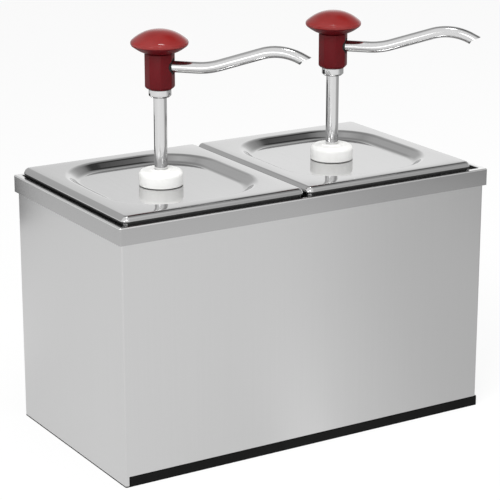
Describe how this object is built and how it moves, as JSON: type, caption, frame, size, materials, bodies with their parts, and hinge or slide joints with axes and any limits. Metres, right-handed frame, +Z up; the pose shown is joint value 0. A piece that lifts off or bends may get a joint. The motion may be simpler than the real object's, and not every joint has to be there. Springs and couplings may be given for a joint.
{
  "type": "pump sauce dispenser",
  "caption": "Counter-top steel sauce dispenser: covered food pans in a rectangular housing, each lid with a hand pump, red palm knob and swan-neck spout.",
  "frame": {"origin": "centre of the housing on the underside of the black base, on the table", "axes": "+X along the row of pans, +Y to the back, +Z up; the front faces -Y"},
  "size_m": [0.34, 0.183, 0.3323],
  "materials": {
    "brushed_steel": "fine vertical grain, satin stainless steel",
    "lid_steel": "satin, half glossy stainless steel",
    "polished_steel": "polished stainless steel",
    "spring_steel": "drawn spring wire",
    "red_plastic": "glossy dark red",
    "white_plastic": "satin white",
    "black_plastic": "satin black",
    "black_rubber": "matte black"
  },
  "bodies": {
    "housing": {"housing_shell": "brushed_steel", "top_frame": "brushed_steel", "base_plate": "brushed_steel", "base_tray": "black_plastic", "base_screw_1": "polished_steel", "base_screw_2": "polished_steel", "base_screw_3": "polished_steel", "base_screw_4": "polished_steel"},
    "left_pan_unit": {"left_pan": "brushed_steel"},
    "left_lid_unit": {"left_lid": "lid_steel", "left_gasket": "black_rubber", "left_barrel": "white_plastic", "left_rod_guide": "white_plastic", "left_cap_nut": "white_plastic", "left_foot_valve": "white_plastic", "left_inlet_cage": "white_plastic", "left_return_spring": "spring_steel"},
    "left_plunger": {"left_rod": "polished_steel", "left_piston": "white_plastic", "left_piston_seal": "black_rubber"},
    "left_head": {"left_head_bush": "polished_steel", "left_head_block": "red_plastic", "left_spout_seal": "black_rubber", "left_spout": "polished_steel", "left_knob": "red_plastic"},
    "left_inlet_valve": {"left_inlet_ball": "polished_steel"},
    "left_outlet_valve": {"left_outlet_ball": "polished_steel"},
    "right_pan_unit": {"right_pan": "brushed_steel"},
    "right_lid_unit": {"right_lid": "lid_steel", "right_gasket": "black_rubber", "right_barrel": "white_plastic", "right_rod_guide": "white_plastic", "right_cap_nut": "white_plastic", "right_foot_valve": "white_plastic", "right_inlet_cage": "white_plastic", "right_return_spring": "spring_steel"},
    "right_plunger": {"right_rod": "polished_steel", "right_piston": "white_plastic", "right_piston_seal": "black_rubber"},
    "right_head": {"right_head_bush": "polished_steel", "right_head_block": "red_plastic", "right_spout_seal": "black_rubber", "right_spout": "polished_steel", "right_knob": "red_plastic"},
    "right_inlet_valve": {"right_inlet_ball": "polished_steel"},
    "right_outlet_valve": {"right_outlet_ball": "polished_steel"}
  },
  "joints": [
    {"name": "left_pan_lift", "type": "slide", "parent": "housing", "child": "left_pan_unit", "axis": [0, 0, 1], "range_m": [0, 0.15]},
    {"name": "left_lid_lift", "type": "slide", "parent": "left_pan_unit", "child": "left_lid_unit", "axis": [0, 0, 1], "range_m": [0, 0.15]},
    {"name": "left_pump_stroke", "type": "slide", "parent": "left_lid_unit", "child": "left_plunger", "axis": [0, 0, 1], "range_m": [-0.032, 0], "stiffness_N_per_m": 300, "springref_m": 0.03, "deforming": ["left_return_spring"]},
    {"name": "left_head_swivel", "type": "hinge", "parent": "left_plunger", "child": "left_head", "pos_m": [-0.0845, 0, 0.29], "axis": [0, 0, 1], "range_deg": [-43, 137]},
    {"name": "left_inlet_lift", "type": "slide", "parent": "left_lid_unit", "child": "left_inlet_valve", "axis": [0, 0, 1], "range_m": [0, 0.0045]},
    {"name": "left_outlet_lift", "type": "slide", "parent": "left_plunger", "child": "left_outlet_valve", "axis": [0, 0, 1], "range_m": [0, 0.0022]},
    {"name": "right_pan_lift", "type": "slide", "parent": "housing", "child": "right_pan_unit", "axis": [0, 0, 1], "range_m": [0, 0.15]},
    {"name": "right_lid_lift", "type": "slide", "parent": "right_pan_unit", "child": "right_lid_unit", "axis": [0, 0, 1], "range_m": [0, 0.15]},
    {"name": "right_pump_stroke", "type": "slide", "parent": "right_lid_unit", "child": "right_plunger", "axis": [0, 0, 1], "range_m": [-0.032, 0], "stiffness_N_per_m": 300, "springref_m": 0.03, "deforming": ["right_return_spring"]},
    {"name": "right_head_swivel", "type": "hinge", "parent": "right_plunger", "child": "right_head", "pos_m": [0.0775, 0, 0.29], "axis": [0, 0, 1], "range_deg": [-43, 137]},
    {"name": "right_inlet_lift", "type": "slide", "parent": "right_lid_unit", "child": "right_inlet_valve", "axis": [0, 0, 1], "range_m": [0, 0.0045]},
    {"name": "right_outlet_lift", "type": "slide", "parent": "right_plunger", "child": "right_outlet_valve", "axis": [0, 0, 1], "range_m": [0, 0.0022]}
  ]
}
